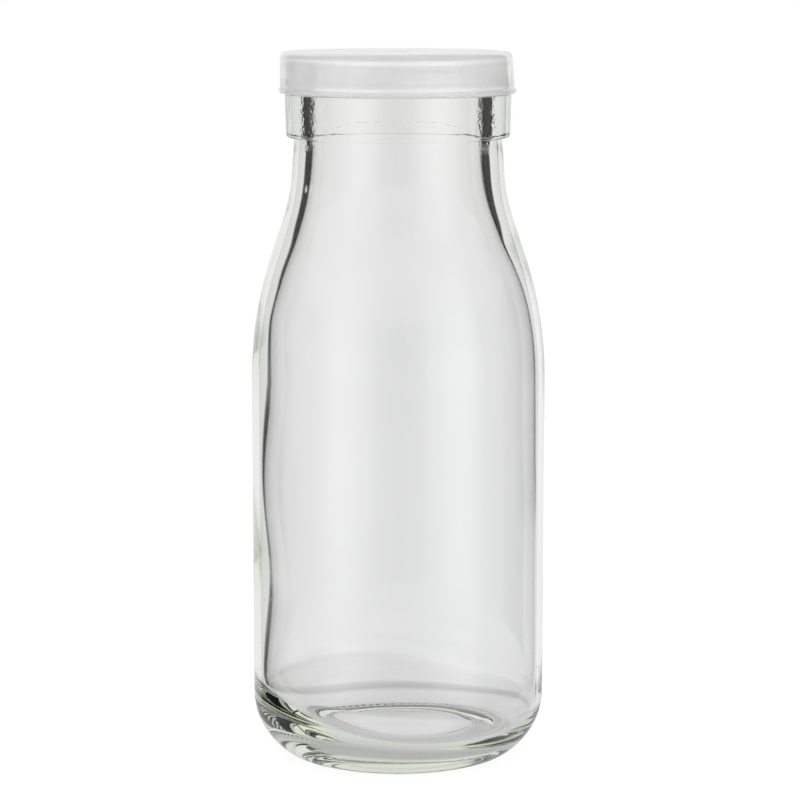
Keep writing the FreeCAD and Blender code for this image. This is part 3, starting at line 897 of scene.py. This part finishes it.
@dataclass
class Lid:
    """The soft push-on lid, a little skewed by being pressed on."""

    clearance: float = 0.1
    wall: float = 1.42
    rounding: float = 0.9
    foot_rounding: float = 0.3
    lip_height: float = 0.9
    lip_width: float = 0.28
    lip_rounding: float = 0.12
    corner_rounding: float = 0.25
    bead_height: float = 1.3
    dimple_radius: float = 2.5
    dimple_depth: float = 0.3
    gate_radius: float = 0.7
    gate_height: float = 0.18
    sides: int = 256

    def section(self, bottle: Bottle) -> Section:
        """Draws the lid round the bottle's mouth.

        Args:
            bottle: The bottle it is pressed on.

        Returns:
            The section, from the pole under the panel to the pole on top.
        """
        low, high = (corner[2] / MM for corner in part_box("lid"))
        rim = bottle.rim()
        top_of_collar = bottle.neck_top + bottle.collar_length
        draft = math.tan(math.radians(bottle.finish_draft))
        groove_top = top_of_collar + bottle.groove_height
        bead_foot = groove_top + bottle.groove_depth
        skirt_foot = bottle.finish_radius + self.clearance
        skirt_head = skirt_foot - (rim - bead_foot) * draft
        bead = skirt_foot - bottle.groove_depth
        outer_head = skirt_head + self.wall
        lip_top = low + self.lip_height
        outer_lip = outer_head + (high - lip_top) * draft
        lip = outer_lip + self.lip_width

        section = Section(zone=Zone.INSIDE)
        section.at(0.0, rim)
        section.run(skirt_head - 2.0 * self.corner_rounding, rim, 4.0)
        section.run(skirt_head - self.corner_rounding, rim, 0.25)
        corner = Row(skirt_head, rim, Zone.INSIDE)
        section.rounding(self.corner_rounding, (-1, -1), corner, 3)
        section.run(skirt_foot, bead_foot, 1.0)
        section.run(bead, groove_top, 0.25)
        section.run(bead, groove_top - self.bead_height, 0.4)
        section.run(skirt_foot, low, 0.3)
        section.zone = Zone.OUTSIDE
        section.run(lip - self.foot_rounding, low, 0.5)
        section.rounding(self.foot_rounding, (-1, 1), Row(lip, low, Zone.OUTSIDE), 4)
        section.run(lip, lip_top - self.lip_rounding, 0.3)
        corner = Row(lip, lip_top, Zone.OUTSIDE)
        section.rounding(self.lip_rounding, (-1, -1), corner, 3)
        section.run(outer_lip + 0.05, lip_top, 0.1)
        section.run(outer_lip, lip_top + 0.06, 0.1)
        section.run(outer_head + 0.03, high - self.rounding, 0.9)
        corner = Row(outer_head, high, Zone.OUTSIDE)
        section.rounding(self.rounding, (-1, -1), corner, 8)
        section.run(self.dimple_radius + 0.3, high, 2.5)
        section.run(self.dimple_radius, high - 0.02, 0.2)
        dimple = high - self.dimple_depth
        section.run(self.dimple_radius - self.dimple_depth, dimple, 0.12)
        section.run(self.gate_radius + 0.05, dimple, 0.5)
        section.run(self.gate_radius, dimple + self.gate_height, 0.1)
        section.run(0.0, dimple + self.gate_height, 0.3)
        return section

    def build(self, bottle: Bottle, plastic: bpy.types.Material) -> bpy.types.Object:
        """Makes the finished lid.

        Args:
            bottle: The bottle it is pressed on.
            plastic: The finish.

        Returns:
            The finished piece.
        """
        low, high = (corner[2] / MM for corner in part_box("lid"))
        shape = PressedLid("lid_plastic", self.section(bottle), self.sides, low, high)
        piece = bpy.data.objects.new("lid_plastic", shape.mesh())
        bpy.context.scene.collection.objects.link(piece)
        piece.data.materials.append(plastic)
        LOG.info("%s: %d faces", piece.name, len(piece.data.polygons))
        return piece


@dataclass
class PressedLid(Turned):
    """The lid's turned shape, its outside set a little to one side, most at the top."""

    low: float = 0.0
    high: float = 1.0
    foot_shift: float = -0.12
    head_shift: float = -0.45

    def place(self, row: Row, azimuth: float) -> tuple[float, float, float]:
        """A point of the lid in millimetres."""
        point = super().place(row, azimuth)
        if row.zone is not Zone.OUTSIDE:
            return point
        share = (row.height - self.low) / (self.high - self.low)
        lean = self.foot_shift + (self.head_shift - self.foot_shift) * share
        return (point[0] + lean, point[1], point[2])


@dataclass(frozen=True)
class Panel:
    """One stretch of the surroundings, by its angle from +Y towards +X in degrees.

    It has a level at eye height and one lower down.
    """

    angle: float
    level: float
    low_level: float


@dataclass
class Studio:
    """A white sweep, soft light and a camera slightly above the bottle."""

    camera_distance: float = 560.1
    camera_height: float = 156.5
    aim_height: float = 70.78
    aim_side: float = 0.36
    lens: float = 127.5
    floor_radius: float = 420.0
    floor_paper: float = 0.12
    floor_glow: float = 0.92
    floor_fade: float = 0.85
    floor_level: float = 0.74
    under_level: float = 0.50
    ceiling_level: float = 0.75
    low_band: tuple[float, float] = (-6.5, -13.0)
    floor_band: tuple[float, float] = (-17.0, -21.0)
    under_band: tuple[float, float] = (-32.0, -55.0)
    ceiling_band: tuple[float, float] = (30.0, 45.0)
    diffuse_level: float = 1.28
    bounces: int = 24
    sweep: tuple[Panel, ...] = (
        Panel(-180.0, 0.22, 0.22), Panel(-166.0, 0.35, 0.32), Panel(-150.0, 0.90, 0.60),
        Panel(-134.0, 1.20, 0.95), Panel(-122.0, 1.20, 0.95), Panel(-106.0, 0.76, 0.60),
        Panel(-84.0, 0.50, 0.45), Panel(-66.0, 0.0, 0.10), Panel(-41.0, 0.0, 0.10),
        Panel(-37.0, 0.84, 0.83), Panel(-15.0, 0.86, 0.84), Panel(0.0, 0.82, 0.83),
        Panel(15.0, 0.87, 0.86), Panel(36.0, 0.89, 0.87), Panel(39.5, 0.0, 0.40),
        Panel(64.0, 0.0, 0.40), Panel(80.0, 0.30, 0.30), Panel(106.0, 0.50, 0.45),
        Panel(122.0, 1.20, 0.95), Panel(134.0, 1.20, 0.95), Panel(150.0, 0.90, 0.60),
        Panel(166.0, 0.35, 0.32), Panel(180.0, 0.22, 0.22),
    )
    # Painted shade: glow levels, by distance from the axis in millimetres, that light bent by
    # glass sees on the floor. The dark band at 17 to 20.5 mm stands in for the shadow under the
    # standing ring; the dark ring at 38 mm has no real cause.
    painted_shade_rings: tuple[tuple[float, float], ...] = (
        (0.0, 0.70), (9.0, 0.70), (13.5, 0.58), (17.0, 0.46), (20.5, 0.45), (25.5, 0.66),
        (34.0, 0.71), (38.0, 0.51), (40.0, 0.57), (43.5, 0.75), (60.0, 0.76),
    )

    def camera(self) -> None:
        """Places the camera, looking slightly down at the bottle's middle."""
        data = bpy.data.cameras.new("camera")
        data.lens = self.lens
        camera = bpy.data.objects.new("camera", data)
        bpy.context.scene.collection.objects.link(camera)
        camera.location = Vector((0.0, -self.camera_distance, self.camera_height)) * MM
        aim = Vector((self.aim_side, 0.0, self.aim_height)) * MM
        camera.rotation_euler = (aim - camera.location).to_track_quat("-Z", "Y").to_euler()
        bpy.context.scene.camera = camera

    def world(self) -> None:
        """Makes the surroundings: white to the eye, shaped panels in the glass."""
        world = bpy.data.worlds.new("studio")
        bpy.context.scene.world = world
        world.use_nodes = True
        tree = world.node_tree
        tree.nodes.clear()
        output = add_node(tree, "ShaderNodeOutputWorld")
        direction = add_node(tree, "ShaderNodeTexCoord").outputs["Generated"]
        axes = add_node(tree, "ShaderNodeSeparateXYZ", {0: direction})
        angle = maths(tree, "ARCTAN2", axes.outputs["X"], axes.outputs["Y"])
        turn = maths(tree, "MULTIPLY_ADD", angle, 1.0 / (2.0 * math.pi), 0.5)
        turns = [panel.angle / 360.0 + 0.5 for panel in self.sweep]
        around = []
        for levels in (
            [panel.level for panel in self.sweep],
            [panel.low_level for panel in self.sweep],
        ):
            ring = add_node(tree, "ShaderNodeValToRGB", {"Fac": turn})
            self.fill_ramp(ring.color_ramp, list(zip(turns, levels)))
            around.append(ring.outputs["Color"])
        seen = around[0]
        for band, colour in (
            (self.low_band, around[1]),
            (self.floor_band, cool(self.floor_level)),
            (self.under_band, cool(self.under_level)),
            (self.ceiling_band, cool(self.ceiling_level)),
        ):
            seen = self.blend(tree, self.rise(tree, axes.outputs["Z"], band), seen, colour)
        seen = self.blend(tree, bent_light(tree), grey(self.diffuse_level), seen)
        path = add_node(tree, "ShaderNodeLightPath")
        seen = self.blend(tree, path.outputs["Is Camera Ray"], seen, grey(1.0))
        light = add_node(tree, "ShaderNodeBackground", {"Color": seen, "Strength": 1.0})
        tree.links.new(light.outputs["Background"], output.inputs["Surface"])

    def fill_ramp(self, ramp: bpy.types.ColorRamp, stops: list[tuple[float, float]]) -> None:
        """Writes levels into a colour ramp.

        Args:
            ramp: The ramp.
            stops: Positions from 0 to 1, each with its level.
        """
        ramp.interpolation = "EASE"
        while len(ramp.elements) > 1:
            ramp.elements.remove(ramp.elements[-1])
        for index, (position, level) in enumerate(stops):
            element = ramp.elements[0] if index == 0 else ramp.elements.new(position)
            element.position = position
            element.color = cool(level)

    def rise(
        self, tree: bpy.types.NodeTree, height: bpy.types.NodeSocket, band: tuple[float, float]
    ) -> bpy.types.NodeSocket:
        """A share that rises between two elevations in degrees."""
        begin, end = (math.sin(math.radians(angle)) for angle in band)
        return fade(tree, height, begin, end)

    def blend(
        self, tree: bpy.types.NodeTree, share: bpy.types.NodeSocket, first: Any, second: Any
    ) -> bpy.types.NodeSocket:
        """Mixes two colours by a share."""
        made = add_node(tree, "ShaderNodeMix", {0: share, 6: first, 7: second}, data_type="RGBA")
        return made.outputs[2]

    def floor(self) -> None:
        """Makes the pale floor, a disc that the camera sees as white with a soft shadow, and that
        glass sees with painted shade rings.
        """
        bm = bmesh.new()
        bmesh.ops.create_circle(bm, cap_ends=True, segments=96, radius=self.floor_radius * MM)
        mesh = bpy.data.meshes.new("floor")
        bm.to_mesh(mesh)
        bm.free()
        floor = bpy.data.objects.new("floor", mesh)
        bpy.context.scene.collection.objects.link(floor)
        mesh.materials.append(self.paper())

    def paper(self) -> bpy.types.Material:
        """Makes the floor's material: white to the eye, and painted shade rings under the bottle
        for light bent by glass.
        """
        material, tree, output = new_material("pale paper with painted shade")
        matt = add_node(tree, "ShaderNodeBsdfDiffuse", {"Color": grey(self.floor_paper)})
        glow = add_node(
            tree, "ShaderNodeEmission", {"Color": grey(1.0), "Strength": self.floor_glow}
        )
        lit = add_node(tree, "ShaderNodeAddShader", {0: matt.outputs[0], 1: glow.outputs[0]})
        place = add_node(tree, "ShaderNodeTexCoord").outputs["Object"]
        radius = add_node(tree, "ShaderNodeVectorMath", {0: place}, operation="LENGTH")
        widest = self.painted_shade_rings[-1][0]
        share = add_node(tree, "ShaderNodeMapRange", {
            "Value": radius.outputs["Value"],
            "From Max": widest * MM,
        }).outputs["Result"]
        # Painted shade: rings of glow that glass sees on the floor in place of its real shade,
        # fading to clear beyond them.
        rings = add_node(tree, "ShaderNodeValToRGB", {"Fac": share})
        self.fill_ramp(
            rings.color_ramp, [(distance / widest, level) for distance, level in self.painted_shade_rings]
        )
        painted_shade = add_node(tree, "ShaderNodeEmission", {"Color": rings.outputs["Color"]})
        clear = add_node(tree, "ShaderNodeBsdfTransparent")
        beyond = add_node(tree, "ShaderNodeMapRange", {
            "Value": radius.outputs["Value"],
            "From Min": self.floor_fade * widest * MM,
            "From Max": widest * MM,
        }).outputs["Result"]
        ground = add_node(
            tree, "ShaderNodeMixShader", {0: beyond, 1: painted_shade.outputs[0], 2: clear.outputs[0]}
        )
        mixed = add_node(
            tree, "ShaderNodeMixShader",
            {0: bent_light(tree), 1: lit.outputs[0], 2: ground.outputs[0]},
        )
        tree.links.new(mixed.outputs[0], output.inputs["Surface"])
        return material

    def light_paths(self) -> None:
        """Lets light that is caught in a glass wall bounce until it finds its way out."""
        cycles = bpy.context.scene.cycles
        cycles.max_bounces = self.bounces
        cycles.glossy_bounces = self.bounces
        cycles.transmission_bounces = self.bounces

    def build(self) -> None:
        """Sets up the whole studio."""
        settings = bpy.context.scene.view_settings
        settings.view_transform = "Standard"
        self.light_paths()
        self.camera()
        self.world()
        self.floor()


def main() -> None:
    """Builds the studio and the two pieces, and hands them to the frame."""
    logging.basicConfig(level=logging.INFO, format="%(message)s")
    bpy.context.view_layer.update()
    Studio().build()
    bottle = Bottle()
    glass = bottle.build(FlintGlass().build())
    lid = Lid().build(bottle, MilkyPolyethylene().build())
    for piece, node, slot in (
        (glass, "bottle", "clear_glass"),
        (lid, "lid", "soft_plastic"),
    ):
        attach(piece, BODY)
        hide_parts(node)


if __name__ == "__main__":
    main()
